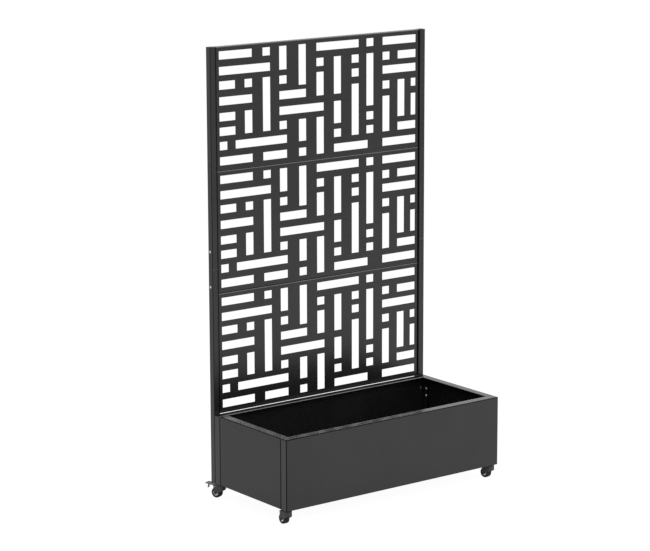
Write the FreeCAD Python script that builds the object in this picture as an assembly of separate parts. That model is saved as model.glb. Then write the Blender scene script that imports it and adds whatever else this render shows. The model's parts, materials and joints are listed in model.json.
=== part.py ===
import FreeCAD, Part
import math
import os

# Planter with a privacy screen on casters, built from folded sheet steel.
# Millimetres. X runs to the right, Y to the back, Z up. The origin is on the floor, in the middle
# of the footprint.

V = FreeCAD.Vector
RIGHT = V(1, 0, 0)
BACK = V(0, 1, 0)
UP = V(0, 0, 1)

# Planter box
PLANTER_WIDTH = 1140.0
PLANTER_DEPTH = 510.0
PLANTER_HEIGHT = 302.0
SHEET = 1.5                # thickness of the folded sheets
BEND_RADIUS = 4.0          # outside radius of a fold
RIM_WIDTH = 38.0           # top and bottom flanges and the returns at the corners
HEM_WIDTH = 10.0           # sheet folded back under the rim's inner edge
SEAM = 1.5                 # open line between two sheets that meet edge to edge
LAP_GAP = 0.2              # paint gap between two sheets that lie on each other
LIP_WIDTH = 30.0           # joggled edge of an end wall behind a return
TRAY_EDGE = 12.0           # height of the floor tray's folded edge
TRAY_GAP = 0.5
DRAIN_RADIUS = 6.0
DRAIN_COLUMNS = 5
DRAIN_ROWS = 2

# Posts
POST_WIDTH = 30.0
POST_DEPTH = 30.0
POST_WALL = 1.5
POST_CORNER = 2.5
POST_SEAM = 0.8            # open line where the two lengths of a post meet
LOWER_POST_LENGTH = 922.0
CAP_THICKNESS = 2.0
PLUG_DEPTH = 14.0
INSERT_GAP = 0.2           # play of a plug or sleeve inside a post
SLEEVE_LENGTH = 200.0
SLEEVE_WALL = 2.0
SPLICE_SCREW_OFFSET = 75.0

# Screen panels
PANEL_HEIGHT = 517.5
PANEL_COUNT = 3
PANEL_SETBACK = 6.0        # the panels' faces lie this far behind the posts' fronts
PANEL_FLANGE = 18.0
PANEL_SIDE_GAP = 0.3
PANEL_SEAM = 0.6
PANEL_DROP = 1.9           # the lowest panel's edge below the planter's rim
OPENING_SIZE = 38.3        # width of an upright opening
OPENING_RISE = 34.6        # height of a level opening
PATTERN_WIDTH = 1043.0
PATTERN_HEIGHT = 474.2
PATTERN_BASE = 23.4        # lowest opening above the panel's lower edge
JOINT_BOLT_INSET = 90.0    # from the planter's end to the outer bolt of a seam
SIDE_SCREW_INSET = 130.0   # from the panel's lower and upper edges

# Screws, studs and nuts
SCREW_RADIUS = 2.5
SCREW_HEAD_RADIUS = 4.6
SCREW_HEAD_HEIGHT = 2.6
SCREW_GRIP = 8.0           # length of a screw beyond the sheets that it holds
SPLICE_SCREW_RADIUS = 3.0
SPLICE_HEAD_RADIUS = 5.5
SPLICE_HEAD_HEIGHT = 2.8
RECESS_SHARE = 0.52        # hexagon socket's width as a share of the head's
HOLE_PLAY = 0.05
CLEARANCE_PLAY = 0.3
NUT_WIDTH = 8.0            # across flats
NUT_HEIGHT = 4.0
STUD_LENGTH = 9.0
STUD_INSET = 26.0          # from the front or back face
STUD_PAIR = 32.0           # distance between the two studs of a pair
STUD_MARGIN = 60.0         # from the box's lower and upper edges

# Casters
CASTER_HEIGHT = 64.0
WHEEL_RADIUS = 22.5
WHEEL_WIDTH = 25.0
TYRE_ROUND = 4.0
TYRE_THICKNESS = 10.0
HUB_RIM = 2.0
HUB_BOSS_RADIUS = 5.0
HUB_DISH = 1.5             # hub's faces inside its rim
HUB_INSET = 1.0            # hub's rim inside the tyre's face
CORE_GAP = 0.05
TRAIL = 20.0               # the axle lies this far behind the swivel axis
AXLE_RADIUS = 3.0
AXLE_HEAD_RADIUS = 5.0
AXLE_HEAD_HEIGHT = 2.4
AXLE_NUT_WIDTH = 10.0
AXLE_NUT_HEIGHT = 3.5
AXLE_END = 0.6
RUNNING_PLAY = 0.05
FREE_GAP = 0.3
FORK_GAP = 1.5             # from the wheel's face to the fork's leg
LEG_THICKNESS = 3.5
LEG_END_RADIUS = 6.5
RACE_RADIUS = 15.0
RACE_HEIGHT = 2.0          # round raceway on top of the hood
HOOD_THICKNESS = 4.0
HOOD_FRONT = 20.0          # the hood reaches this far in front of the swivel axis
HOOD_FRONT_DEPTH = 20.0    # how far the hood hangs down in front
HOOD_BACK_DEPTH = 6.0      # and behind
HOOD_TAIL = 8.5            # the hood ends this far behind the axle
HOOD_CORNER = 14.0
HOOD_EDGE = 1.2
BOSS_RADIUS = 9.0
BOSS_HEIGHT = 8.0
STEM_RADIUS = 4.0
STEM_FLANGE = 2.5
STEM_RISE = 15.0
STEM_HEAD_RADIUS = 6.5
STEM_HEAD_HEIGHT = 2.0
STEM_NUT_WIDTH = 13.0
STEM_NUT_HEIGHT = 6.5
WASHER_RADIUS = 13.0
WASHER_THICKNESS = 1.2
CASTER_SIDE_INSET = 22.5   # swivel axis from the planter's end
FRONT_CASTER_INSET = 28.0  # swivel axis from the front face
REAR_CASTER_INSET = 10.5   # swivel axis in front of the back face

# Brake pedal of a rear caster, measured from the swivel axis and from the floor
PEDAL_REACH = 73.0
PEDAL_HALF_WIDTH = 15.0    # tread behind the fork
PEDAL_PIVOT_BACK = 20.5
PEDAL_PIVOT_HEIGHT = 51.0
PEDAL_TIP_HEIGHT = 60.0
PEDAL_THICKNESS = 2.4
PEDAL_PIN_RADIUS = 1.6
PEDAL_BARREL = 3.8
PEDAL_SLOT = 15.8          # the hood's roof is open behind this line
PEDAL_SHOE_DROP = 2.3      # brake shoe below the pivot
PEDAL_SHOE_BACK = 9.7
PEDAL_SHOE_RADIUS = 2.0
PEDAL_TREAD_START = 33.0   # behind the swivel axis
PEDAL_TAB_BACK = 40.0      # release tab under the tread, behind the pivot
PEDAL_TAB_DROP = 21.0
PEDAL_TAB_HALF = 5.0
PEDAL_TAB_LEAN = 4.0
PEDAL_SIDE_GAP = 0.6
PEDAL_LIP = 4.0
PEDAL_RIB = 1.0            # grip ribs across the tread
PEDAL_RIB_COUNT = 4
PEDAL_RIB_PITCH = 7.0

# Degrees by which each caster is turned, as it stands, from trailing straight back.
CASTER_TURNS = {"front_left": 0.0, "front_right": 8.0, "rear_left": 20.0, "rear_right": -20.0}

OVERRUN = 5.0              # how far a cutting tool runs past the sheet

# Places that follow from the sizes
END = PLANTER_WIDTH / 2
REAR_TURN = math.radians(CASTER_TURNS["rear_left"])
PEDAL_BACK = PEDAL_REACH * math.cos(REAR_TURN) + PEDAL_HALF_WIDTH * math.sin(REAR_TURN)
OVERALL_DEPTH = PLANTER_DEPTH + PEDAL_BACK - REAR_CASTER_INSET
FRONT_FACE = -OVERALL_DEPTH / 2
BACK_FACE = FRONT_FACE + PLANTER_DEPTH
BASE = CASTER_HEIGHT
RIM = BASE + PLANTER_HEIGHT
SCREEN_BASE = RIM - PANEL_DROP
POST_INNER = END - POST_WIDTH
POST_BASE = BASE + CAP_THICKNESS
SPLICE = POST_BASE + LOWER_POST_LENGTH
POST_TOP = SCREEN_BASE + PANEL_COUNT * PANEL_HEIGHT - CAP_THICKNESS
POST_MIDDLE = BACK_FACE + POST_DEPTH / 2
PANEL_FACE = BACK_FACE + PANEL_SETBACK
PANEL_HALF = POST_INNER - PANEL_SIDE_GAP
FLANGE_MIDDLE = PANEL_FACE + SHEET + PANEL_FLANGE / 2
JOINT_BOLT_X = END - JOINT_BOLT_INSET
LAP_FACE = END - SHEET - LAP_GAP
LIP_FACE = LAP_FACE - SHEET

# The screen's pattern: columns and rows of a basket weave, as shares of its width and height.
COLUMN_SHARES = {
    "A": 0.0, "a": 0.04, "b": 0.077, "B": 0.123, "C": 0.212, "D": 0.294, "E": 0.391, "F": 0.481,
    "G": 0.57, "H": 0.662, "h": 0.709, "I": 0.739, "J": 0.824, "K": 0.904, "L": 0.975,
}
ROW_SHARES = {"P": 0.0, "Q": 0.134, "R": 0.26, "S": 0.388, "T": 0.527, "U": 0.665, "V": 0.791, "W": 0.928}
LATE_START_SHARE = 0.64    # one upright opening starts a little below its row

# Each opening: its first and last column, then its lowest and highest row.
OPENINGS = (
    ("A", "B", "P", "P"), ("C", "D", "P", "P"), ("E", "E", "P", "P"), ("G", "h", "P", "P"),
    ("J", "L", "P", "P"), ("A", "A", "Q", "Q"), ("b", "D", "Q", "Q"), ("G", "G", "Q", "Q"),
    ("I", "I", "Q", "Q"), ("K", "L", "Q", "Q"), ("A", "a", "R", "R"), ("D", "D", "R", "R"),
    ("I", "I", "R", "R"), ("F", "F", "P", "R"), ("E", "E", "Q", "R"), ("A", "a", "S", "S"),
    ("D", "F", "S", "S"), ("B", "B", "R", "S"), ("G", "G", "R", "S"), ("J", "J", "Q", "S"),
    ("L", "L", "R", "S"), ("A", "B", "T", "T"), ("D", "E", "T", "T"), ("J", "J", "T", "T"),
    ("K", "K", "R", "T"), ("L", "L", "T", "T"), ("H", "H", "Q", "T"), ("A", "a", "U", "U"),
    ("B", "B", "U", "U"), ("C", "C", "R", "U"), ("D", "D", "U", "U"), ("F", "F", "T", "U"),
    ("H", "H", "U", "U"), ("J", "L", "U", "U"), ("A", "C", "V", "V"), ("F", "F", "V", "V"),
    ("H", "H", "V", "V"), ("G", "G", "T", "V"), ("I", "I", "S", "V"), ("J", "J", "V", "V"),
    ("K", "L", "V", "V"), ("A", "B", "W", "W"), ("C", "C", "W", "W"), ("D", "D", "V", "W"),
    ("F", "H", "W", "W"), ("I", "I", "W", "W"), ("J", "L", "W", "W"),
)
LATE_OPENING = "E"         # column of the upright opening that reaches the top row


def box(x0, x1, y0, y1, z0, z1):
    return Part.makeBox(x1 - x0, y1 - y0, z1 - z0, V(x0, y0, z0))


def rod(radius, start, end):
    span = end - start
    return Part.makeCylinder(radius, span.Length, start, span)


def face_from(points):
    return Part.Face(Part.makePolygon(points + points[:1]))


def rounded(shape, edges, radius):
    return shape.makeFillet(radius, edges)


def edges_along(shape, direction, keep):
    """Straight edges parallel to a direction whose middle passes the test."""
    found = []
    for edge in shape.Edges:
        if edge.Degenerated or edge.Curve.TypeId != "Part::GeomLine":
            continue
        along = edge.Vertexes[-1].Point - edge.Vertexes[0].Point
        if along.cross(direction).Length < edge.Length * SHEET / PLANTER_WIDTH:
            middle = (edge.Vertexes[0].Point + edge.Vertexes[-1].Point) / 2
            if keep(middle):
                found.append(edge)
    return found


def near(a, b):
    return abs(a - b) < LAP_GAP / 2


def hexagon(seat, axis, width, height):
    """A hexagonal prism on a point, growing along its axis."""
    side = width / math.sqrt(3)
    across = UP if near(axis.dot(UP), 0) else RIGHT
    other = axis.cross(across)
    corners = []
    for step in range(6):
        turn = math.radians(60 * step)
        corners.append(seat + across * (side * math.cos(turn)) + other * (side * math.sin(turn)))
    return face_from(corners).extrude(axis * height)


def hex_nut(seat, axis, width, height, bore):
    """A hexagon nut that sits on a point, with its outer corners turned off."""
    body = hexagon(seat, axis, width, height)
    turned = rod(width / math.sqrt(3), seat, seat + axis * height)
    far = seat + axis * height
    rims = [e for e in turned.Edges if e.Closed and (e.CenterOfMass - far).Length < height / 2]
    turned = turned.makeChamfer(height / 5, rims)
    return body.common(turned).cut(rod(bore, seat - axis * OVERRUN, far + axis * OVERRUN))


def pan_head(seat, axis, radius, height):
    """A low domed head on a point, growing along its axis."""
    drum = rod(radius, seat, seat + axis * height)
    far = seat + axis * height
    rims = [e for e in drum.Edges if e.Closed and (e.CenterOfMass - far).Length < height / 2]
    return rounded(drum, rims, height * 0.6)


def screw(seat, axis, length, radius=SCREW_RADIUS, head=SCREW_HEAD_RADIUS, rise=SCREW_HEAD_HEIGHT):
    """A screw whose head seats on a point; the shank runs against the axis."""
    shank = rod(radius, seat - axis * length, seat)
    body = shank.fuse(pan_head(seat, axis, head, rise)).removeSplitter()
    socket = hexagon(seat + axis * rise * (1 - RECESS_SHARE), axis, 2 * head * RECESS_SHARE, rise)
    return body.cut(socket)


def fold_edges(block, face, top):
    """Edges of a long wall's block that are folds: both corners and the rim with its ends."""
    found = edges_along(block, UP, lambda p: near(p.y, face))
    found += edges_along(block, RIGHT, lambda p: near(p.y, face) and near(p.z, top))
    found += edges_along(block, BACK, lambda p: near(p.z, top))
    return found


def stud_heights():
    low = BASE + STUD_MARGIN
    high = RIM - STUD_MARGIN
    return (low, low + STUD_PAIR, high - STUD_PAIR, high)


def stud_depths():
    return (FRONT_FACE + STUD_INSET, BACK_FACE - STUD_INSET)


def long_wall(is_front):
    """Front or back wall: face, two returns, hemmed rim and foot flange in one folded sheet."""
    face = FRONT_FACE if is_front else BACK_FACE
    inward = 1 if is_front else -1

    def slab(x0, x1, depth0, depth1, z0, z1):
        ya = face + inward * depth0
        yb = face + inward * depth1
        return box(x0, x1, min(ya, yb), max(ya, yb), z0, z1)

    outer = slab(-END, END, 0, RIM_WIDTH, BASE, RIM)
    outer = rounded(outer, fold_edges(outer, face, RIM), BEND_RADIUS)
    hollow = slab(-END + SHEET, END - SHEET, SHEET, RIM_WIDTH + OVERRUN, BASE + SHEET, RIM - SHEET)
    hollow = rounded(hollow, fold_edges(hollow, face + inward * SHEET, RIM - SHEET), BEND_RADIUS - SHEET)
    wall = outer.cut(hollow)
    hem_half = LIP_FACE - LAP_GAP
    hem = slab(-hem_half, hem_half, RIM_WIDTH - HEM_WIDTH, RIM_WIDTH, RIM - 2 * SHEET, RIM - SHEET)
    wall = wall.fuse(hem).removeSplitter()
    edge = face + inward * RIM_WIDTH
    hem_edges = edges_along(wall, RIGHT, lambda p: near(p.y, edge) and p.z > RIM - 3 * SHEET)
    wall = rounded(wall, hem_edges, SHEET * 0.7)
    for side in (-1, 1):
        for depth in stud_depths():
            if abs(depth - face) > RIM_WIDTH:
                continue
            for z in stud_heights():
                root = V(side * (END - SHEET), depth, z)
                wall = wall.fuse(rod(SCREW_RADIUS, root, root - RIGHT * side * STUD_LENGTH))
        x = side * (END - CASTER_SIDE_INSET)
        y = caster_depth(is_front)
        hole = rod(STEM_RADIUS + CLEARANCE_PLAY, V(x, y, BASE - OVERRUN), V(x, y, BASE + OVERRUN))
        wall = wall.cut(hole)
        if not is_front:
            for z in post_screw_heights():
                x = side * (END - POST_WIDTH / 2)
                start = V(x, BACK_FACE - OVERRUN, z)
                wall = wall.cut(rod(SCREW_RADIUS + HOLE_PLAY, start, start + BACK * 2 * OVERRUN))
    return wall


def end_wall(side):
    """Left or right wall between the returns, with a joggled lip behind each of them."""
    y0 = FRONT_FACE + RIM_WIDTH + SEAM
    y1 = BACK_FACE - RIM_WIDTH - SEAM

    def slab(inset0, inset1, ya, yb, z0, z1):
        xa = side * (END - inset0)
        xb = side * (END - inset1)
        return box(min(xa, xb), max(xa, xb), ya, yb, z0, z1)

    outer = slab(0, RIM_WIDTH, y0, y1, BASE, RIM)
    outer = rounded(outer, edges_along(outer, BACK, lambda p: near(p.x, side * END)), BEND_RADIUS)
    hollow = slab(SHEET, RIM_WIDTH + OVERRUN, y0 - OVERRUN, y1 + OVERRUN, BASE + SHEET, RIM - SHEET)
    bends = edges_along(hollow, BACK, lambda p: near(p.x, side * (END - SHEET)))
    hollow = rounded(hollow, bends, BEND_RADIUS - SHEET)
    wall = outer.cut(hollow)
    hem = slab(RIM_WIDTH - HEM_WIDTH, RIM_WIDTH, y0, y1, RIM - 2 * SHEET, RIM - SHEET)
    wall = wall.fuse(hem).removeSplitter()
    edge = side * (END - RIM_WIDTH)
    hem_edges = edges_along(wall, BACK, lambda p: near(p.x, edge) and p.z > RIM - 3 * SHEET)
    wall = rounded(wall, hem_edges, SHEET * 0.7)
    lip_base = BASE + BEND_RADIUS + LAP_GAP
    lip_top = RIM - BEND_RADIUS - LAP_GAP
    depth = 2 * SHEET + LAP_GAP
    for start, away in ((y0, -1), (y1, 1)):
        near_y = start - away * SHEET
        far_y = start + away * LIP_WIDTH
        step = slab(0, depth, min(start, near_y), max(start, near_y), lip_base, lip_top)
        lip = slab(SHEET + LAP_GAP, depth, min(near_y, far_y), max(near_y, far_y), lip_base, lip_top)
        wall = wall.fuse(step).fuse(lip)
    wall = wall.removeSplitter()
    for y in stud_depths():
        for z in stud_heights():
            start = V(side * (LIP_FACE - OVERRUN), y, z)
            wall = wall.cut(rod(SCREW_RADIUS + CLEARANCE_PLAY, start, start + RIGHT * side * 2 * OVERRUN))
    return wall


def floor_tray():
    """Shallow tray that lies on the walls' foot flanges, with drain holes."""
    half = END - BEND_RADIUS - TRAY_GAP
    y0 = FRONT_FACE + SHEET + TRAY_GAP
    y1 = BACK_FACE - SHEET - TRAY_GAP
    z0 = BASE + SHEET
    tray = box(-half, half, y0, y1, z0, z0 + TRAY_EDGE)
    inside = box(-half + SHEET, half - SHEET, y0 + SHEET, y1 - SHEET, z0 + SHEET, z0 + TRAY_EDGE + OVERRUN)
    tray = tray.cut(inside)
    for column in range(DRAIN_COLUMNS):
        for row in range(DRAIN_ROWS):
            x = PLANTER_WIDTH * ((column + 0.5) / DRAIN_COLUMNS - 0.5)
            y = FRONT_FACE + PLANTER_DEPTH * (row + 0.5) / DRAIN_ROWS
            tray = tray.cut(rod(DRAIN_RADIUS, V(x, y, z0 - OVERRUN), V(x, y, z0 + OVERRUN)))
    for corner in caster_places():
        start = V(corner.x, corner.y, z0 - OVERRUN)
        tray = tray.cut(rod(STEM_RADIUS + CLEARANCE_PLAY, start, start + UP * 2 * OVERRUN))
    return tray


def tube(width, depth, wall, corner, x, z0, z1):
    """Upright rectangular tube with rounded corners, on a post's centre line."""
    y = POST_MIDDLE
    outer = box(x - width / 2, x + width / 2, y - depth / 2, y + depth / 2, z0, z1)
    outer = rounded(outer, edges_along(outer, UP, lambda p: True), corner)
    w = width / 2 - wall
    d = depth / 2 - wall
    inner = box(x - w, x + w, y - d, y + d, z0 - OVERRUN, z1 + OVERRUN)
    return outer.cut(inner)


def post_screw_heights():
    return (BASE + STUD_MARGIN, RIM - STUD_MARGIN)


def panel_base(index):
    return SCREEN_BASE + index * PANEL_HEIGHT


def side_screw_heights(index):
    base = panel_base(index)
    return (base + SIDE_SCREW_INSET, base + PANEL_HEIGHT - SIDE_SCREW_INSET)


def splice_screw_heights():
    return (SPLICE - SPLICE_SCREW_OFFSET, SPLICE + SPLICE_SCREW_OFFSET)


def post_half(side, is_upper):
    """One half of a post: tube with the holes for its own screws."""
    x = side * (END - POST_WIDTH / 2)
    z0 = SPLICE + POST_SEAM / 2 if is_upper else POST_BASE
    z1 = POST_TOP if is_upper else SPLICE - POST_SEAM / 2
    post = tube(POST_WIDTH, POST_DEPTH, POST_WALL, POST_CORNER, x, z0, z1)
    for z in splice_screw_heights():
        if z0 < z < z1:
            start = V(side * (END - POST_WALL - OVERRUN), POST_MIDDLE, z)
            hole = rod(SPLICE_SCREW_RADIUS + HOLE_PLAY, start, start + RIGHT * side * 2 * OVERRUN)
            post = post.cut(hole)
    for index in range(PANEL_COUNT):
        for z in side_screw_heights(index):
            if z0 < z < z1:
                start = V(side * (POST_INNER - OVERRUN), FLANGE_MIDDLE, z)
                hole = rod(SCREW_RADIUS + HOLE_PLAY, start, start + RIGHT * side * 2 * OVERRUN)
                post = post.cut(hole)
    for z in post_screw_heights():
        if z0 < z < z1:
            start = V(x, BACK_FACE - OVERRUN, z)
            post = post.cut(rod(SCREW_RADIUS + HOLE_PLAY, start, start + BACK * 2 * OVERRUN))
    return post


def splice_sleeve(side):
    """Inner sleeve that joins the two halves of a post."""
    x = side * (END - POST_WIDTH / 2)
    width = POST_WIDTH - 2 * (POST_WALL + INSERT_GAP)
    depth = POST_DEPTH - 2 * (POST_WALL + INSERT_GAP)
    half = SLEEVE_LENGTH / 2
    sleeve = tube(width, depth, SLEEVE_WALL, POST_WALL, x, SPLICE - half, SPLICE + half)
    for z in splice_screw_heights():
        start = V(side * (END - POST_WALL - INSERT_GAP - SLEEVE_WALL - OVERRUN), POST_MIDDLE, z)
        hole = rod(SPLICE_SCREW_RADIUS + HOLE_PLAY, start, start + RIGHT * side * 3 * OVERRUN)
        sleeve = sleeve.cut(hole)
    for index in range(PANEL_COUNT):
        for z in side_screw_heights(index):
            if abs(z - SPLICE) < half:
                start = V(side * POST_INNER, FLANGE_MIDDLE, z)
                hole = rod(SCREW_RADIUS + CLEARANCE_PLAY, start, start + RIGHT * side * 2 * OVERRUN)
                sleeve = sleeve.cut(hole)
    return sleeve


def post_plug(side, is_top):
    """Plastic end plug: a plate over the tube's end and a skirt inside it."""
    x = side * (END - POST_WIDTH / 2)
    end = POST_TOP if is_top else POST_BASE
    out = 1 if is_top else -1
    z0 = min(end, end + out * CAP_THICKNESS)
    z1 = max(end, end + out * CAP_THICKNESS)
    w = POST_WIDTH / 2
    d = POST_DEPTH / 2
    plate = box(x - w, x + w, POST_MIDDLE - d, POST_MIDDLE + d, z0, z1)
    plate = rounded(plate, edges_along(plate, UP, lambda p: True), POST_CORNER)
    w -= POST_WALL + INSERT_GAP
    d -= POST_WALL + INSERT_GAP
    z0 = min(end, end - out * PLUG_DEPTH)
    z1 = max(end, end - out * PLUG_DEPTH)
    skirt = box(x - w, x + w, POST_MIDDLE - d, POST_MIDDLE + d, z0, z1)
    w -= SLEEVE_WALL
    d -= SLEEVE_WALL
    skirt = skirt.cut(box(x - w, x + w, POST_MIDDLE - d, POST_MIDDLE + d, z0, z1))
    return plate.fuse(skirt).removeSplitter()


def opening_prism(first, last, low, high, base):
    """Cutting block of one opening, on the grid of columns and rows."""
    x0 = PATTERN_WIDTH * (COLUMN_SHARES[first] - 0.5)
    x1 = PATTERN_WIDTH * (COLUMN_SHARES[last] - 0.5) + OPENING_SIZE
    z0 = base + PATTERN_BASE + PATTERN_HEIGHT * ROW_SHARES[low]
    z1 = base + PATTERN_BASE + PATTERN_HEIGHT * ROW_SHARES[high] + OPENING_RISE
    x1 = min(x1, PATTERN_WIDTH / 2)
    z1 = min(z1, base + PATTERN_BASE + PATTERN_HEIGHT)
    return box(x0, x1, PANEL_FACE - OVERRUN, PANEL_FACE + SHEET + OVERRUN, z0, z1)


def screen_panel(index):
    """A cut sheet folded back on all four edges, with one face of basket-weave openings."""
    z0 = panel_base(index) + (PANEL_SEAM / 2 if index else 0)
    z1 = panel_base(index) + PANEL_HEIGHT - (PANEL_SEAM / 2 if index < PANEL_COUNT - 1 else 0)
    y1 = PANEL_FACE + SHEET + PANEL_FLANGE
    outer = box(-PANEL_HALF, PANEL_HALF, PANEL_FACE, y1, z0, z1)
    front_edges = edges_along(outer, RIGHT, lambda p: near(p.y, PANEL_FACE))
    front_edges += edges_along(outer, UP, lambda p: near(p.y, PANEL_FACE))
    outer = rounded(outer, front_edges, BEND_RADIUS)
    half = PANEL_HALF - SHEET
    panel = outer.cut(box(-half, half, PANEL_FACE + SHEET, y1 + OVERRUN, z0 + SHEET, z1 - SHEET))
    base = panel_base(index)
    cutters = [opening_prism(*opening, base) for opening in OPENINGS]
    late = base + PATTERN_BASE + PATTERN_HEIGHT * LATE_START_SHARE
    x0 = PATTERN_WIDTH * (COLUMN_SHARES[LATE_OPENING] - 0.5)
    cutters.append(box(x0, x0 + OPENING_SIZE, PANEL_FACE - OVERRUN, PANEL_FACE + SHEET + OVERRUN,
                       late, base + PATTERN_BASE + PATTERN_HEIGHT))
    for z in (z0, z1):
        for x in (-JOINT_BOLT_X, JOINT_BOLT_X):
            start = V(x, FLANGE_MIDDLE, z - OVERRUN)
            cutters.append(rod(SCREW_RADIUS + HOLE_PLAY, start, start + UP * 2 * OVERRUN))
    for side in (-1, 1):
        for z in side_screw_heights(index):
            start = V(side * (PANEL_HALF - OVERRUN), FLANGE_MIDDLE, z)
            cutters.append(rod(SCREW_RADIUS + HOLE_PLAY, start, start + RIGHT * side * 2 * OVERRUN))
    return panel.cut(Part.makeCompound(cutters))


def stud_nuts():
    nuts = []
    for side in (-1, 1):
        for y in stud_depths():
            for z in stud_heights():
                seat = V(side * LIP_FACE, y, z)
                nuts.append(hex_nut(seat, RIGHT * -side, NUT_WIDTH, NUT_HEIGHT, SCREW_RADIUS + HOLE_PLAY))
    return nuts


def post_screws():
    length = SHEET + POST_WALL + SCREW_GRIP
    return [screw(V(side * (END - POST_WIDTH / 2), BACK_FACE - SHEET, z), BACK * -1, length)
            for side in (-1, 1) for z in post_screw_heights()]


def splice_screws():
    length = POST_WALL + INSERT_GAP + SLEEVE_WALL + SCREW_GRIP / 2
    return [screw(V(side * END, POST_MIDDLE, z), RIGHT * side, length,
                  SPLICE_SCREW_RADIUS, SPLICE_HEAD_RADIUS, SPLICE_HEAD_HEIGHT)
            for side in (-1, 1) for z in splice_screw_heights()]


def panel_side_screws():
    length = SHEET + PANEL_SIDE_GAP + POST_WALL + SCREW_GRIP / 2
    return [screw(V(side * (PANEL_HALF - SHEET), FLANGE_MIDDLE, z), RIGHT * -side, length)
            for index in range(PANEL_COUNT) for side in (-1, 1) for z in side_screw_heights(index)]


def seam_heights():
    return [panel_base(index) for index in range(1, PANEL_COUNT)]


def panel_joint_bolts():
    length = 2 * SHEET + PANEL_SEAM + NUT_HEIGHT + LAP_GAP
    return [screw(V(x, FLANGE_MIDDLE, z + PANEL_SEAM / 2 + SHEET), UP, length)
            for z in seam_heights() for x in (-JOINT_BOLT_X, JOINT_BOLT_X)]


def panel_joint_nuts():
    return [hex_nut(V(x, FLANGE_MIDDLE, z - PANEL_SEAM / 2 - SHEET), UP * -1, NUT_WIDTH, NUT_HEIGHT,
                    SCREW_RADIUS + HOLE_PLAY)
            for z in seam_heights() for x in (-JOINT_BOLT_X, JOINT_BOLT_X)]


def panel_top_screws():
    top = panel_base(PANEL_COUNT)
    return [screw(V(x, FLANGE_MIDDLE, top), UP, SHEET + SCREW_GRIP / 2)
            for x in (-JOINT_BOLT_X, JOINT_BOLT_X)]


def caster_depth(is_front):
    return FRONT_FACE + FRONT_CASTER_INSET if is_front else BACK_FACE - REAR_CASTER_INSET


def caster_places():
    return [V(side * (END - CASTER_SIDE_INSET), caster_depth(front), 0)
            for front in (True, False) for side in (-1, 1)]


# A caster is drawn with its swivel axis on the Z axis and its wheel trailing towards the back.
FORK_TOP = CASTER_HEIGHT - STEM_FLANGE - WASHER_THICKNESS - FREE_GAP
HOOD_TOP = FORK_TOP - RACE_HEIGHT
ROOF = HOOD_TOP - HOOD_THICKNESS
BOSS_BASE = ROOF - BOSS_HEIGHT
LEG_INNER = WHEEL_WIDTH / 2 + FORK_GAP
LEG_OUTER = LEG_INNER + LEG_THICKNESS
HOOD_BACK = TRAIL + HOOD_TAIL
AXLE = V(0, TRAIL, WHEEL_RADIUS)


def caster_stem():
    """Threaded stem, flange, kingpin and riveted head in one turned piece."""
    seat = CASTER_HEIGHT - STEM_FLANGE
    head_top = BOSS_BASE - FREE_GAP
    stem = rod(STEM_RADIUS, V(0, 0, head_top - STEM_HEAD_HEIGHT), V(0, 0, CASTER_HEIGHT + STEM_RISE))
    stem = stem.fuse(rod(RACE_RADIUS, V(0, 0, seat), V(0, 0, CASTER_HEIGHT)))
    stem = stem.fuse(pan_head(V(0, 0, head_top), UP * -1, STEM_HEAD_RADIUS, STEM_HEAD_HEIGHT))
    return stem.removeSplitter()


def caster_washer():
    top = CASTER_HEIGHT - STEM_FLANGE
    ring = rod(WASHER_RADIUS, V(0, 0, top - WASHER_THICKNESS), V(0, 0, top))
    bore = STEM_RADIUS + RUNNING_PLAY
    return ring.cut(rod(bore, V(0, 0, top - OVERRUN), V(0, 0, top + OVERRUN)))


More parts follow.
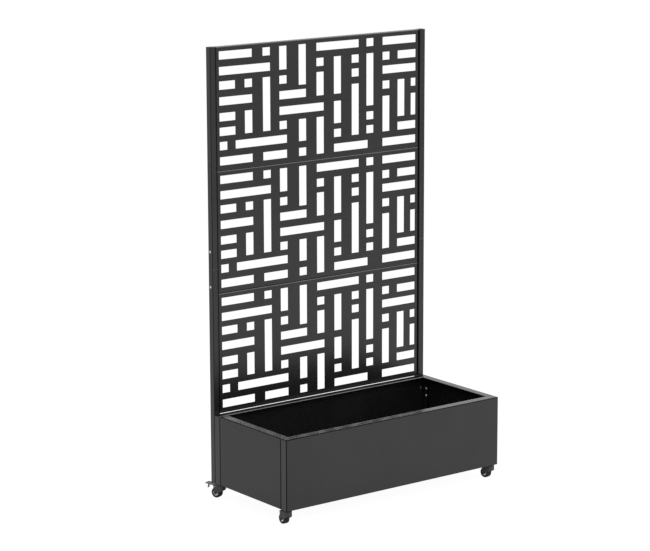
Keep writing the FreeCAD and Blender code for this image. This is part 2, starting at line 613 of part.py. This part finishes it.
def caster_fork(has_brake):
    """Hooded fork: a shell with two legs down to the axle and a boss round the kingpin."""
    def at(back, height):
        return V(-LEG_OUTER, back, height)

    low = WHEEL_RADIUS - LEG_END_RADIUS
    front_low = HOOD_TOP - HOOD_FRONT_DEPTH
    tail_low = HOOD_TOP - HOOD_BACK_DEPTH
    lean = LEG_END_RADIUS * math.sin(math.radians(45))
    outline = [
        Part.LineSegment(at(-HOOD_FRONT, HOOD_TOP), at(-HOOD_FRONT, front_low)),
        Part.LineSegment(at(-HOOD_FRONT, front_low), at(TRAIL - lean, WHEEL_RADIUS - lean)),
        Part.Arc(at(TRAIL - lean, WHEEL_RADIUS - lean), at(TRAIL, low), at(TRAIL + lean, WHEEL_RADIUS - lean)),
        Part.LineSegment(at(TRAIL + lean, WHEEL_RADIUS - lean), at(HOOD_BACK, tail_low)),
        Part.LineSegment(at(HOOD_BACK, tail_low), at(HOOD_BACK, HOOD_TOP)),
        Part.LineSegment(at(HOOD_BACK, HOOD_TOP), at(-HOOD_FRONT, HOOD_TOP)),
    ]
    wire = Part.Wire([piece.toShape() for piece in outline])
    hood = Part.Face(wire).extrude(RIGHT * 2 * LEG_OUTER)
    plan = box(-LEG_OUTER, LEG_OUTER, -HOOD_FRONT, HOOD_BACK, 0, HOOD_TOP)
    plan = rounded(plan, edges_along(plan, UP, lambda p: p.y < 0), HOOD_CORNER)
    rims = [e for e in plan.Edges if near(e.BoundBox.ZMin, HOOD_TOP)]
    hood = hood.common(rounded(plan, rims, HOOD_EDGE))
    hood = hood.fuse(rod(RACE_RADIUS, V(0, 0, ROOF), V(0, 0, FORK_TOP))).removeSplitter()
    inside = box(-LEG_INNER, LEG_INNER, LEG_THICKNESS - HOOD_FRONT, HOOD_BACK + OVERRUN, 0, ROOF)
    corners = edges_along(inside, UP, lambda p: p.y < 0)
    fork = hood.cut(rounded(inside, corners, HOOD_CORNER - LEG_THICKNESS))
    fork = fork.fuse(rod(BOSS_RADIUS, V(0, 0, BOSS_BASE), V(0, 0, HOOD_TOP))).removeSplitter()
    if has_brake:
        fork = fork.cut(box(-LEG_INNER, LEG_INNER, PEDAL_SLOT, HOOD_BACK + OVERRUN, 0, FORK_TOP))
        pin = V(-LEG_OUTER - OVERRUN, PEDAL_PIVOT_BACK, PEDAL_PIVOT_HEIGHT)
        fork = fork.cut(rod(PEDAL_PIN_RADIUS + HOLE_PLAY, pin, pin + RIGHT * 2 * (LEG_OUTER + OVERRUN)))
    fork = fork.cut(rod(STEM_RADIUS + RUNNING_PLAY, V(0, 0, 0), V(0, 0, CASTER_HEIGHT)))
    side = RIGHT * (LEG_OUTER + OVERRUN)
    return fork.cut(rod(AXLE_RADIUS + HOLE_PLAY, AXLE - side, AXLE + side))


def spun(profile):
    """Turns an outline of (x, radius) points round the axle."""
    points = [AXLE + RIGHT * x + UP * r for x, r in profile]
    return face_from(points).revolve(AXLE, RIGHT, 360)


def caster_tyre():
    half = WHEEL_WIDTH / 2
    ring = spun([(-half, WHEEL_RADIUS - TYRE_THICKNESS), (half, WHEEL_RADIUS - TYRE_THICKNESS),
                 (half, WHEEL_RADIUS), (-half, WHEEL_RADIUS)])
    rims = []
    for edge in ring.Edges:
        if edge.Curve.TypeId == "Part::GeomCircle" and near(edge.Curve.Radius, WHEEL_RADIUS):
            rims.append(edge)
    return rounded(ring, rims, TYRE_ROUND)


def caster_hub():
    """Wheel core: rim, dished faces and a boss that spaces it between the legs."""
    rim = WHEEL_RADIUS - TYRE_THICKNESS - CORE_GAP
    half = WHEEL_WIDTH / 2 - HUB_INSET
    boss = LEG_INNER - FREE_GAP
    bore = AXLE_RADIUS + RUNNING_PLAY
    web = half - HUB_DISH
    return spun([(-boss, bore), (boss, bore), (boss, HUB_BOSS_RADIUS), (web, HUB_BOSS_RADIUS),
                 (web, rim - HUB_RIM), (half, rim - HUB_RIM), (half, rim), (-half, rim),
                 (-half, rim - HUB_RIM), (-web, rim - HUB_RIM), (-web, HUB_BOSS_RADIUS),
                 (-boss, HUB_BOSS_RADIUS)])


def caster_axle():
    end = LEG_OUTER + AXLE_NUT_HEIGHT + AXLE_END
    return screw(AXLE - RIGHT * LEG_OUTER, RIGHT * -1, LEG_OUTER + end,
                 AXLE_RADIUS, AXLE_HEAD_RADIUS, AXLE_HEAD_HEIGHT)


def caster_axle_nut():
    return hex_nut(AXLE + RIGHT * LEG_OUTER, RIGHT, AXLE_NUT_WIDTH, AXLE_NUT_HEIGHT, AXLE_RADIUS + HOLE_PLAY)


def pedal_pivot():
    return V(0, PEDAL_PIVOT_BACK, PEDAL_PIVOT_HEIGHT)


def brake_pedal():
    """Foot lever: barrel on the pin, shoe over the wheel, tread plate behind, release tab."""
    pivot = pedal_pivot()
    half = LEG_INNER - PEDAL_SIDE_GAP
    side = RIGHT * half
    barrel = rod(PEDAL_BARREL, pivot - side, pivot + side)
    shoe_at = pivot + BACK * PEDAL_SHOE_BACK - UP * PEDAL_SHOE_DROP
    shoe = rod(PEDAL_SHOE_RADIUS, shoe_at - side, shoe_at + side)

    def strip(width, points):
        return face_from([V(-width, y, z) for y, z in points]).extrude(RIGHT * 2 * width)

    neck = strip(half, [(pivot.y, pivot.z + PEDAL_SHOE_RADIUS),
                        (pivot.y, pivot.z - PEDAL_SHOE_RADIUS),
                        (shoe_at.y, shoe_at.z - PEDAL_SHOE_RADIUS),
                        (shoe_at.y, shoe_at.z + PEDAL_SHOE_RADIUS)])
    top = PEDAL_TIP_HEIGHT
    under = top - PEDAL_THICKNESS
    rise = pivot.z + PEDAL_BARREL
    slope = (top - rise) / (PEDAL_REACH - pivot.y)
    start = PEDAL_TREAD_START
    start_top = rise + slope * (start - pivot.y)
    arm = strip(half, [(pivot.y, rise - PEDAL_THICKNESS), (pivot.y, rise), (start, start_top),
                       (start, start_top - PEDAL_THICKNESS)])
    tread = strip(PEDAL_HALF_WIDTH, [(start, start_top - PEDAL_THICKNESS), (start, start_top),
                                     (PEDAL_REACH, top), (PEDAL_REACH, top - PEDAL_LIP),
                                     (PEDAL_REACH - PEDAL_THICKNESS, top - PEDAL_LIP),
                                     (PEDAL_REACH - PEDAL_THICKNESS, under)])
    corners = edges_along(tread, UP, lambda p: near(p.y, PEDAL_REACH))
    tread = rounded(tread, corners, PEDAL_THICKNESS * 0.9)
    for rib in range(PEDAL_RIB_COUNT):
        y = PEDAL_REACH - PEDAL_THICKNESS - rib * PEDAL_RIB_PITCH
        z = top - slope * (PEDAL_REACH - y)
        width = PEDAL_HALF_WIDTH - PEDAL_THICKNESS
        tread = tread.fuse(strip(width, [(y, z - PEDAL_RIB), (y, z + PEDAL_RIB), (y - PEDAL_RIB, z + PEDAL_RIB),
                                         (y - 2 * PEDAL_RIB, z - PEDAL_RIB)]))
    knee = pivot.y + PEDAL_TAB_BACK
    knee_under = top - slope * (PEDAL_REACH - knee) - PEDAL_THICKNESS / 2
    tab = strip(PEDAL_TAB_HALF, [(knee, knee_under),
                                 (knee + PEDAL_TAB_LEAN, knee_under - PEDAL_TAB_DROP),
                                 (knee + PEDAL_TAB_LEAN + PEDAL_THICKNESS, knee_under - PEDAL_TAB_DROP),
                                 (knee + PEDAL_THICKNESS, knee_under)])
    pedal = barrel.fuse([shoe, neck, arm, tread, tab]).removeSplitter()
    reach = RIGHT * (half + OVERRUN)
    return pedal.cut(rod(PEDAL_PIN_RADIUS + RUNNING_PLAY, pivot - reach, pivot + reach))


def brake_pin():
    side = RIGHT * LEG_OUTER
    return rod(PEDAL_PIN_RADIUS, pedal_pivot() - side, pedal_pivot() + side)


def caster_pieces(has_brake):
    pieces = {
        "stem": caster_stem(),
        "washer": caster_washer(),
        "fork": caster_fork(has_brake),
        "tyre": caster_tyre(),
        "hub": caster_hub(),
        "axle": caster_axle(),
        "axle_nut": caster_axle_nut(),
    }
    if has_brake:
        pieces["brake_pedal"] = brake_pedal()
        pieces["brake_pin"] = brake_pin()
    return pieces


def caster_stem_nuts():
    seat = BASE + 2 * SHEET
    return [hex_nut(V(p.x, p.y, seat), UP, STEM_NUT_WIDTH, STEM_NUT_HEIGHT, STEM_RADIUS + HOLE_PLAY)
            for p in caster_places()]


def all_nodes():
    nodes = {
        "front_wall": long_wall(True),
        "back_wall": long_wall(False),
        "end_wall_left": end_wall(-1),
        "end_wall_right": end_wall(1),
        "floor_tray": floor_tray(),
        "wall_nuts": Part.makeCompound(stud_nuts()),
        "post_screws": Part.makeCompound(post_screws()),
        "splice_screws": Part.makeCompound(splice_screws()),
        "panel_side_screws": Part.makeCompound(panel_side_screws()),
        "panel_joint_bolts": Part.makeCompound(panel_joint_bolts()),
        "panel_joint_nuts": Part.makeCompound(panel_joint_nuts()),
        "panel_top_screws": Part.makeCompound(panel_top_screws()),
        "caster_stem_nuts": Part.makeCompound(caster_stem_nuts()),
    }
    for side, name in ((-1, "left"), (1, "right")):
        nodes["post_lower_" + name] = post_half(side, False)
        nodes["post_upper_" + name] = post_half(side, True)
        nodes["splice_sleeve_" + name] = splice_sleeve(side)
        nodes["post_cap_" + name] = post_plug(side, True)
        nodes["post_foot_plug_" + name] = post_plug(side, False)
    for index, name in enumerate(("bottom", "middle", "top")):
        nodes["screen_panel_" + name] = screen_panel(index)
    corners = ("front_left", "front_right", "rear_left", "rear_right")
    for place, corner in zip(caster_places(), corners):
        for name, shape in caster_pieces(corner.startswith("rear")).items():
            moved = shape.copy()
            moved.rotate(V(0, 0, 0), UP, CASTER_TURNS[corner])
            moved.translate(place)
            nodes["caster_" + corner + "_" + name] = moved
    return nodes


os.makedirs("parts", exist_ok=True)
for node, shape in all_nodes().items():
    shape.exportStep("parts/" + node + ".step")
    print(node, "solids", len(shape.Solids), "valid", shape.isValid(), "volume", round(shape.Volume))
print("swivel axes", [(round(p.x, 3), round(p.y, 3)) for p in caster_places()])
print("axle behind the swivel axis", TRAIL, "axle height", WHEEL_RADIUS)
print("pedal pivot", PEDAL_PIVOT_BACK, PEDAL_PIVOT_HEIGHT, "back face", BACK_FACE, "rim", RIM)
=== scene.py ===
import bpy
import json
import math
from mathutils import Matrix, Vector


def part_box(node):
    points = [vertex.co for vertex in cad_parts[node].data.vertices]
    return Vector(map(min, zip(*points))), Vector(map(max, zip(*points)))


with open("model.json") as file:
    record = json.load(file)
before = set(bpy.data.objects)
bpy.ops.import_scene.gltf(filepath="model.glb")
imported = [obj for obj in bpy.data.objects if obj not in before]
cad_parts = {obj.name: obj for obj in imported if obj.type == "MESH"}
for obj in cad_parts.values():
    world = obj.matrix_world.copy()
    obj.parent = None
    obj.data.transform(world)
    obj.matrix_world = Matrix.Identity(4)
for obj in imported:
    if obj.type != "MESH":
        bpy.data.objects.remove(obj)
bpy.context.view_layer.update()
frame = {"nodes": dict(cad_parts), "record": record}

# Camera: fitted to the photograph's straight edges and to the repeated openings of the screen
CAMERA_PLACE = (-6.2667, -8.0498, 3.0628)
CAMERA_TURN = (78.186, 0.169, -37.255)
CAMERA_LENS = 136.338
SENSOR_WIDTH = 36
CLIP_END = 100

# The sheets' outer faces and edges
RIM_WIDTH = 0.038
SEAM = 0.0015
FRONT_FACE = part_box("front_wall")[0][1]
BACK_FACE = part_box("back_wall")[1][1]
RIM_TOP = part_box("front_wall")[1][2]
POST_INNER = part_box("post_lower_right")[0][0]

# Bands along lines: full up to the first distance from the line, gone at the second
WALL_BAND = (0.0026, 0.0044)
POST_BAND = (0.0040, 0.0060)
RIM_BAND = (0.0005, 0.0010)
HEM_BAND = (0.0018, 0.0036)

# Painted shade along the seams between sheets and where the screens meet the posts: the axis across
# them, their places on it, and their band
WALL_SEAMS = ("Y", [FRONT_FACE + RIM_WIDTH + SEAM / 2, BACK_FACE - RIM_WIDTH - SEAM / 2], WALL_BAND)
POST_SEAMS = ("X", [-POST_INNER], POST_BAND)
# Inner edges of the long walls' rim hems, where a painted highlight runs
HEM_EDGES = [FRONT_FACE + RIM_WIDTH, BACK_FACE - RIM_WIDTH]

# Parts of a surface's direction between which a painted shade or highlight grows from none to full
FOLD_FACING = (0.93, 0.995)     # the largest part, on a fold and on a flat face
CUT_FACING = (0.5, 0.8)         # the sideways part, at the cut edge of an opening
LEVEL_FACING = (0.05, 0.15)     # the upright part, on a level fold
# Painted shade on the back wall's rim top, under the screen
BACK_RIM_SHADE_SHARE = 0.6            # how much of the back wall's rim is shaded

# Surface colours, linear: the darker and the lighter tone of each surface
COAT_TONES = ((0.0075, 0.0075, 0.0072), (0.0105, 0.0105, 0.0102))
FORK_TONES = ((0.028, 0.028, 0.028), (0.035, 0.035, 0.034))
PEDAL_TONES = ((0.09, 0.09, 0.09), (0.12, 0.12, 0.12))
ZINC = (0.80, 0.81, 0.82)
DULL_SHARE = 0.82
ZINC_TONES = (tuple(part * DULL_SHARE for part in ZINC), ZINC)
PALE_ZINC_TONES = ((0.72, 0.73, 0.74), ZINC)
BLACKENED_TONES = ((0.010, 0.010, 0.010), (0.018, 0.018, 0.018))
PLUG_TONES = ((0.008, 0.008, 0.008), (0.012, 0.012, 0.012))
RUBBER_TONES = ((0.006, 0.006, 0.006), (0.010, 0.010, 0.010))
HUB_TONES = ((0.84, 0.84, 0.82), (0.90, 0.90, 0.88))
# Painted highlight along the long walls' inner hem edges
HEM_HIGHLIGHT_TONE = (0.20, 0.20, 0.195)
# Painted highlight on the screen panels' upward level folds
FOLD_HIGHLIGHT_TONE = (0.12, 0.12, 0.118)

# Roughness, smoothest to roughest, and strength of the mirror-like part
COAT_ROUGHNESS = (0.24, 0.28)
FORK_ROUGHNESS = (0.38, 0.5)
PEDAL_ROUGHNESS = (0.34, 0.46)
ZINC_ROUGHNESS = (0.26, 0.42)
PALE_ZINC_ROUGHNESS = (0.28, 0.4)
BLACKENED_ROUGHNESS = (0.35, 0.5)
PLUG_ROUGHNESS = (0.5, 0.62)
RUBBER_ROUGHNESS = (0.6, 0.75)
HUB_ROUGHNESS = (0.35, 0.48)
COAT_SPECULAR = 0.5
# The end walls' copy of the coat mirrors less, so that they render darker than the long walls:
# painted shade
END_WALL_SPECULAR = 0.38
FORK_SPECULAR = 0.4
MOULDED_SPECULAR = 0.4
RUBBER_SPECULAR = 0.3
PALE_ZINC_SPECULAR = 0.8

# Noises: their scales are waves a metre
NOISE_SPAN = (0.3, 0.7)         # the part of a noise's range that is used
TONE_SPAN = (0.35, 0.65)
PLAIN_DETAIL = 3.0
PLAIN_ROUGHNESS = 0.5
CLOUD_SCALE = 5.0
CLOUD_DETAIL = 4.0
GLOSS_SCALE = 40.0
PEBBLE_SCALE = 900.0
PEBBLE_DETAIL = 2.0
PEBBLE_ROUGHNESS = 0.6
PEBBLE_STRENGTH = 0.22
PEBBLE_DEPTH = 0.0003
ZINC_TONE_SCALE = 260.0
ZINC_GLOSS_SCALE = 700.0
ZINC_GRAIN_SCALE = 1400.0
ZINC_GRAIN_STRENGTH = 0.12
ZINC_GRAIN_DEPTH = 0.0001
MOULDED_TONE_SCALE = 90.0
MOULDED_GLOSS_SCALE = 220.0
MOULDED_GRAIN_DEPTH = 0.0002
FINE_GRAIN = (1500.0, 0.1)      # scale and strength of a moulded piece's grain
PALE_ZINC_GRAIN = (1400.0, 0.12)
PLUG_GRAIN = (1500.0, 0.2)
RUBBER_GRAIN = (1200.0, 0.3)
HUB_GRAIN = (900.0, 0.12)

# Floor, sky and lamps
FLOOR_SIZE = 40
FLOOR_WHITE = (0.80, 0.80, 0.80)
FLOOR_GLOW = 1.07
FLOOR_GLOW_SEEN = 0.90          # how much of the floor's white is its own, seen straight
FLOOR_GLOW_MIRRORED = 0.30      # and seen in the object's reflections
SKY_TINT = (0.96, 0.98, 1.0)
SKY_STRENGTH = 0.55
BACKDROP_WHITE = (1, 1, 1)
BACKDROP_STRENGTH = 1.0
LAMP_AIM = Vector((0, 0, 0.9))
LAMPS = (                       # name, place, width and length, power
    ("key", (-2.6, -4.6, 4.2), (3.0, 3.0), 170),
    ("fill", (4.2, -3.4, 2.6), (3.0, 3.0), 80),
    ("top", (0.6, 0.4, 5.0), (3.5, 3.5), 90),
)


def new_material(name):
    material = bpy.data.materials.new(name)
    material.use_nodes = True
    tree = material.node_tree
    tree.nodes.clear()
    out = tree.nodes.new("ShaderNodeOutputMaterial")
    shader = tree.nodes.new("ShaderNodeBsdfPrincipled")
    tree.links.new(shader.outputs["BSDF"], out.inputs["Surface"])
    return material, tree, shader


def object_coords(tree):
    return tree.nodes.new("ShaderNodeTexCoord").outputs["Object"]


def noise(tree, coords, scale, detail=PLAIN_DETAIL, roughness=PLAIN_ROUGHNESS):
    node = tree.nodes.new("ShaderNodeTexNoise")
    node.inputs["Scale"].default_value = scale
    node.inputs["Detail"].default_value = detail
    node.inputs["Roughness"].default_value = roughness
    tree.links.new(coords, node.inputs["Vector"])
    return node.outputs["Fac"]


def spread(tree, value, low, high, span=NOISE_SPAN):
    """Maps a value from the span to low..high."""
    node = tree.nodes.new("ShaderNodeMapRange")
    node.inputs["From Min"].default_value = span[0]
    node.inputs["From Max"].default_value = span[1]
    node.inputs["To Min"].default_value = low
    node.inputs["To Max"].default_value = high
    tree.links.new(value, node.inputs["Value"])
    return node.outputs["Result"]


def two_tones(tree, value, dark, light):
    ramp = tree.nodes.new("ShaderNodeValToRGB")
    for element, place, tone in zip(ramp.color_ramp.elements, TONE_SPAN, (dark, light)):
        element.position = place
        element.color = (*tone, 1)
    tree.links.new(value, ramp.inputs["Fac"])
    return ramp.outputs["Color"]


def bump(tree, height, strength, distance, shader):
    node = tree.nodes.new("ShaderNodeBump")
    node.inputs["Strength"].default_value = strength
    node.inputs["Distance"].default_value = distance
    tree.links.new(height, node.inputs["Height"])
    tree.links.new(node.outputs["Normal"], shader.inputs["Normal"])


def maths(tree, operation, first, second=None):
    """One arithmetic node; the second value may be a number or a socket."""
    node = tree.nodes.new("ShaderNodeMath")
    node.operation = operation
    tree.links.new(first, node.inputs[0])
    if isinstance(second, float):
        node.inputs[1].default_value = second
    elif second is not None:
        tree.links.new(second, node.inputs[1])
    return node.outputs[0]


def mixed(tree, share, colour, other):
    """The colour, turning to the other one where the share is 1."""
    mix = tree.nodes.new("ShaderNodeMix")
    mix.data_type = "RGBA"
    tree.links.new(share, mix.inputs["Factor"])
    tree.links.new(colour, mix.inputs["A"])
    mix.inputs["B"].default_value = (*other, 1)
    return mix.outputs["Result"]


def but_not(tree, shade, share):
    """The shade, less where the share is 1."""
    rest = maths(tree, "ABSOLUTE", maths(tree, "SUBTRACT", share, 1.0))
    return maths(tree, "MULTIPLY", shade, rest)


def near_planes(tree, value, places, band):
    """1 close to any of the places along one axis, falling to 0 across the band."""
    whole = None
    for place in places:
        away = maths(tree, "ABSOLUTE", maths(tree, "SUBTRACT", value, place))
        line = spread(tree, away, 1.0, 0.0, band)
        whole = line if whole is None else maths(tree, "MAXIMUM", whole, line)
    return whole


def fold_shade(tree):
    """The share of painted shade: 1 on the rounded folds between flat faces, 0 on the faces; and
    how the surface faces.
    """
    facing = tree.nodes.new("ShaderNodeTexCoord").outputs["Normal"]
    signed = tree.nodes.new("ShaderNodeSeparateXYZ")
    tree.links.new(facing, signed.inputs[0])
    sizes = {axis: maths(tree, "ABSOLUTE", signed.outputs[axis]) for axis in "XYZ"}
    most = maths(tree, "MAXIMUM", maths(tree, "MAXIMUM", sizes["X"], sizes["Y"]), sizes["Z"])
    return spread(tree, most, 1.0, 0.0, FOLD_FACING), sizes, signed.outputs["Z"]


def shaded(tree, coords, colour, seams=None, has_hems=False, is_panel=False, rim_share=0.0):
    """The colour with painted highlights on the hems and on upward folds, and the share of painted
    shade at each spot.
    """
    places = tree.nodes.new("ShaderNodeSeparateXYZ")
    tree.links.new(coords, places.inputs[0])
    # Painted shade on the rounded folds
    shade, sizes, upward = fold_shade(tree)
    # Screen panels: a painted highlight on the upward level folds, and no painted shade on the
    # level folds
    if is_panel:
        level = spread(tree, sizes["Z"], 0.0, 1.0, LEVEL_FACING)
        lit = maths(tree, "MULTIPLY", shade, spread(tree, upward, 0.0, 1.0, LEVEL_FACING))
        colour = mixed(tree, lit, colour, FOLD_HIGHLIGHT_TONE)
        # Painted shade on the cut edges of the openings
        cut = spread(tree, sizes["X"], 0.0, 1.0, CUT_FACING)
        shade = maths(tree, "MAXIMUM", but_not(tree, shade, level), cut)
    # Painted shade along the seams
    if seams:
        axis, lines, band = seams
        shade = maths(tree, "MAXIMUM", shade, near_planes(tree, places.outputs[axis], lines, band))
    # Painted shade on the back wall's rim top under the screen
    if rim_share:
        rim = near_planes(tree, places.outputs["Z"], [RIM_TOP], RIM_BAND)
        shade = maths(tree, "MAXIMUM", shade, maths(tree, "MULTIPLY", rim, rim_share))
    # Painted highlight along the rims' inner hem edges, with no painted shade there
    if has_hems:
        inner = near_planes(tree, places.outputs["Y"], HEM_EDGES, HEM_BAND)
        high = near_planes(tree, places.outputs["Z"], [RIM_TOP], HEM_BAND)
        hem_highlight = maths(tree, "MULTIPLY", inner, high)
        shade = but_not(tree, shade, hem_highlight)
        colour = mixed(tree, hem_highlight, colour, HEM_HIGHLIGHT_TONE)
    return colour, shade


def pebbled_skin(tree, coords, shader, roughness, specular):
    """Fine pebbles of sprayed paint and their uneven gloss."""
    gloss = noise(tree, coords, GLOSS_SCALE)
    tree.links.new(spread(tree, gloss, *roughness), shader.inputs["Roughness"])
    shader.inputs["Specular IOR Level"].default_value = specular
    pebbles = noise(tree, coords, PEBBLE_SCALE, PEBBLE_DETAIL, PEBBLE_ROUGHNESS)
    bump(tree, pebbles, PEBBLE_STRENGTH, PEBBLE_DEPTH, shader)


def paint(name, tones, roughness, specular):
    """Painted steel with faint cloudiness."""
    material, tree, shader = new_material(name)
    coords = object_coords(tree)
    clouds = noise(tree, coords, CLOUD_SCALE, CLOUD_DETAIL)
    tree.links.new(two_tones(tree, clouds, *tones), shader.inputs["Base Color"])
    pebbled_skin(tree, coords, shader, roughness, specular)
    return material


def powder_coat(name, specular=COAT_SPECULAR, **marks):
    """Powder coat of a folded sheet: faint cloudiness, painted shade on its folds, seams and cut
    edges, and painted highlights on its hems and upward folds.
    """
    material, tree, shader = new_material(name)
    coords = object_coords(tree)
    clouds = noise(tree, coords, CLOUD_SCALE, CLOUD_DETAIL)
    colour, shade = shaded(tree, coords, two_tones(tree, clouds, *COAT_TONES), **marks)
    tree.links.new(colour, shader.inputs["Base Color"])
    # The painted shade goes in as metallic: over the near-black coat colour it makes those spots
    # dark
    tree.links.new(shade, shader.inputs["Metallic"])
    pebbled_skin(tree, coords, shader, COAT_ROUGHNESS, specular)
    return material


def zinc_plate(name):
    """Zinc-plated steel with a spangled tone."""
    material, tree, shader = new_material(name)
    coords = object_coords(tree)
    tone = noise(tree, coords, ZINC_TONE_SCALE)
    tree.links.new(two_tones(tree, tone, *ZINC_TONES), shader.inputs["Base Color"])
    gloss = noise(tree, coords, ZINC_GLOSS_SCALE)
    tree.links.new(spread(tree, gloss, *ZINC_ROUGHNESS), shader.inputs["Roughness"])
    shader.inputs["Metallic"].default_value = 1.0
    bump(tree, noise(tree, coords, ZINC_GRAIN_SCALE), ZINC_GRAIN_STRENGTH, ZINC_GRAIN_DEPTH, shader)
    return material


def moulded(name, tones, roughness, grain, specular=MOULDED_SPECULAR):
    """Plastic, rubber or a dull plating with a fine grain."""
    material, tree, shader = new_material(name)
    coords = object_coords(tree)
    tone = noise(tree, coords, MOULDED_TONE_SCALE)
    tree.links.new(two_tones(tree, tone, *tones), shader.inputs["Base Color"])
    gloss = noise(tree, coords, MOULDED_GLOSS_SCALE)
    tree.links.new(spread(tree, gloss, *roughness), shader.inputs["Roughness"])
    shader.inputs["Specular IOR Level"].default_value = specular
    scale, strength = grain
    bump(tree, noise(tree, coords, scale), strength, MOULDED_GRAIN_DEPTH, shader)
    return material


MATERIALS = {
    "charcoal": powder_coat("charcoal_powder_coat"),
    "post": powder_coat("post_powder_coat", seams=POST_SEAMS),
    "long_wall": powder_coat("long_wall_powder_coat", seams=WALL_SEAMS, has_hems=True),
    # Back wall: painted shade on its rim top under the screen
    "back_wall": powder_coat("back_wall_powder_coat", seams=WALL_SEAMS, has_hems=True,
                             rim_share=BACK_RIM_SHADE_SHARE),
    # End walls: the same coat, mirroring less so that they render darker: painted shade
    "end_wall": powder_coat("end_wall_powder_coat", END_WALL_SPECULAR, seams=WALL_SEAMS),
    "screen": powder_coat("screen_powder_coat", seams=POST_SEAMS, is_panel=True),
    "zinc": zinc_plate("zinc_plated_steel"),
    "pale_zinc": moulded("pale_zinc_plate", PALE_ZINC_TONES, PALE_ZINC_ROUGHNESS, PALE_ZINC_GRAIN,
                         PALE_ZINC_SPECULAR),
    "black_steel": moulded("blackened_steel", BLACKENED_TONES, BLACKENED_ROUGHNESS, FINE_GRAIN),
    "plug": moulded("black_plug_plastic", PLUG_TONES, PLUG_ROUGHNESS, PLUG_GRAIN),
    "fork": paint("fork_paint", FORK_TONES, FORK_ROUGHNESS, FORK_SPECULAR),
    "pedal": paint("pedal_paint", PEDAL_TONES, PEDAL_ROUGHNESS, COAT_SPECULAR),
    "tyre": moulded("tyre_rubber", RUBBER_TONES, RUBBER_ROUGHNESS, RUBBER_GRAIN, RUBBER_SPECULAR),
    "hub": moulded("hub_plastic", HUB_TONES, HUB_ROUGHNESS, HUB_GRAIN),
}

# Pieces whose finish isn't that of their slot
OWN_FINISH = {
    "front_wall": "long_wall",
    "back_wall": "back_wall",
    "end_wall_left": "end_wall",
    "end_wall_right": "end_wall",
    "post_lower_left": "post",
    "post_lower_right": "post",
    "post_upper_left": "post",
    "post_upper_right": "post",
    "wall_nuts": "pale_zinc",
}
BLACKENED_ENDINGS = ("_axle", "_axle_nut")


def dress_nodes():
    slots = {part["node"]: part["material_slot"] for part in frame["record"]["subparts"]}
    for name, piece in frame["nodes"].items():
        finish = OWN_FINISH.get(name, slots[name])
        if name.endswith(BLACKENED_ENDINGS):
            finish = "black_steel"
        material = MATERIALS[finish]
        if piece.material_slots:
            for place in piece.material_slots:
                place.material = material
        else:
            piece.data.materials.append(material)


def add_floor():
    """Pale studio floor that shows as the white backdrop and keeps a faint shadow."""
    bpy.ops.mesh.primitive_plane_add(size=FLOOR_SIZE)
    floor = bpy.context.object
    floor.name = "studio_floor"
    material = bpy.data.materials.new("studio_floor")
    material.use_nodes = True
    tree = material.node_tree
    tree.nodes.clear()
    out = tree.nodes.new("ShaderNodeOutputMaterial")
    matt = tree.nodes.new("ShaderNodeBsdfDiffuse")
    matt.inputs["Color"].default_value = (*FLOOR_WHITE, 1)
    glow = tree.nodes.new("ShaderNodeEmission")
    glow.inputs["Strength"].default_value = FLOOR_GLOW
    rays = tree.nodes.new("ShaderNodeLightPath").outputs
    mirrored = maths(tree, "MAXIMUM", rays["Is Glossy Ray"], rays["Is Transmission Ray"])
    seen = maths(tree, "MULTIPLY", rays["Is Camera Ray"], FLOOR_GLOW_SEEN)
    share = maths(tree, "ADD", seen, maths(tree, "MULTIPLY", mirrored, FLOOR_GLOW_MIRRORED))
    last = tree.nodes.new("ShaderNodeMixShader")
    tree.links.new(share, last.inputs["Fac"])
    tree.links.new(matt.outputs["BSDF"], last.inputs[1])
    tree.links.new(glow.outputs["Emission"], last.inputs[2])
    tree.links.new(last.outputs["Shader"], out.inputs["Surface"])
    floor.data.materials.append(material)


def sky_shader(tree, tint, strength):
    node = tree.nodes.new("ShaderNodeBackground")
    node.inputs["Color"].default_value = (*tint, 1)
    node.inputs["Strength"].default_value = strength
    return node.outputs["Background"]


def add_world():
    """A dim sky that lights the object, white where it's seen or mirrored."""
    world = bpy.data.worlds.new("studio")
    bpy.context.scene.world = world
    world.use_nodes = True
    tree = world.node_tree
    tree.nodes.clear()
    out = tree.nodes.new("ShaderNodeOutputWorld")
    rays = tree.nodes.new("ShaderNodeLightPath").outputs
    glossy = maths(tree, "MAXIMUM", rays["Is Camera Ray"], rays["Is Glossy Ray"])
    clear = maths(tree, "MAXIMUM", glossy, rays["Is Transmission Ray"])
    mix = tree.nodes.new("ShaderNodeMixShader")
    tree.links.new(clear, mix.inputs["Fac"])
    tree.links.new(sky_shader(tree, SKY_TINT, SKY_STRENGTH), mix.inputs[1])
    tree.links.new(sky_shader(tree, BACKDROP_WHITE, BACKDROP_STRENGTH), mix.inputs[2])
    tree.links.new(mix.outputs["Shader"], out.inputs["Surface"])


def add_lamp(name, place, size, power):
    data = bpy.data.lights.new(name, "AREA")
    data.shape = "RECTANGLE"
    data.size = size[0]
    data.size_y = size[1]
    data.energy = power
    lamp = bpy.data.objects.new(name, data)
    bpy.context.scene.collection.objects.link(lamp)
    lamp.location = place
    lamp.visible_glossy = False
    away = (lamp.location - LAMP_AIM).normalized()
    lamp.rotation_euler = away.to_track_quat("Z", "Y").to_euler()


def add_camera():
    data = bpy.data.cameras.new("camera")
    data.sensor_width = SENSOR_WIDTH
    data.lens = CAMERA_LENS
    data.clip_end = CLIP_END
    camera = bpy.data.objects.new("camera", data)
    camera.location = CAMERA_PLACE
    camera.rotation_euler = [math.radians(a) for a in CAMERA_TURN]
    bpy.context.scene.collection.objects.link(camera)
    bpy.context.scene.camera = camera


dress_nodes()
add_floor()
add_world()
for lamp_values in LAMPS:
    add_lamp(*lamp_values)
add_camera()
bpy.context.scene.view_settings.view_transform = "Standard"
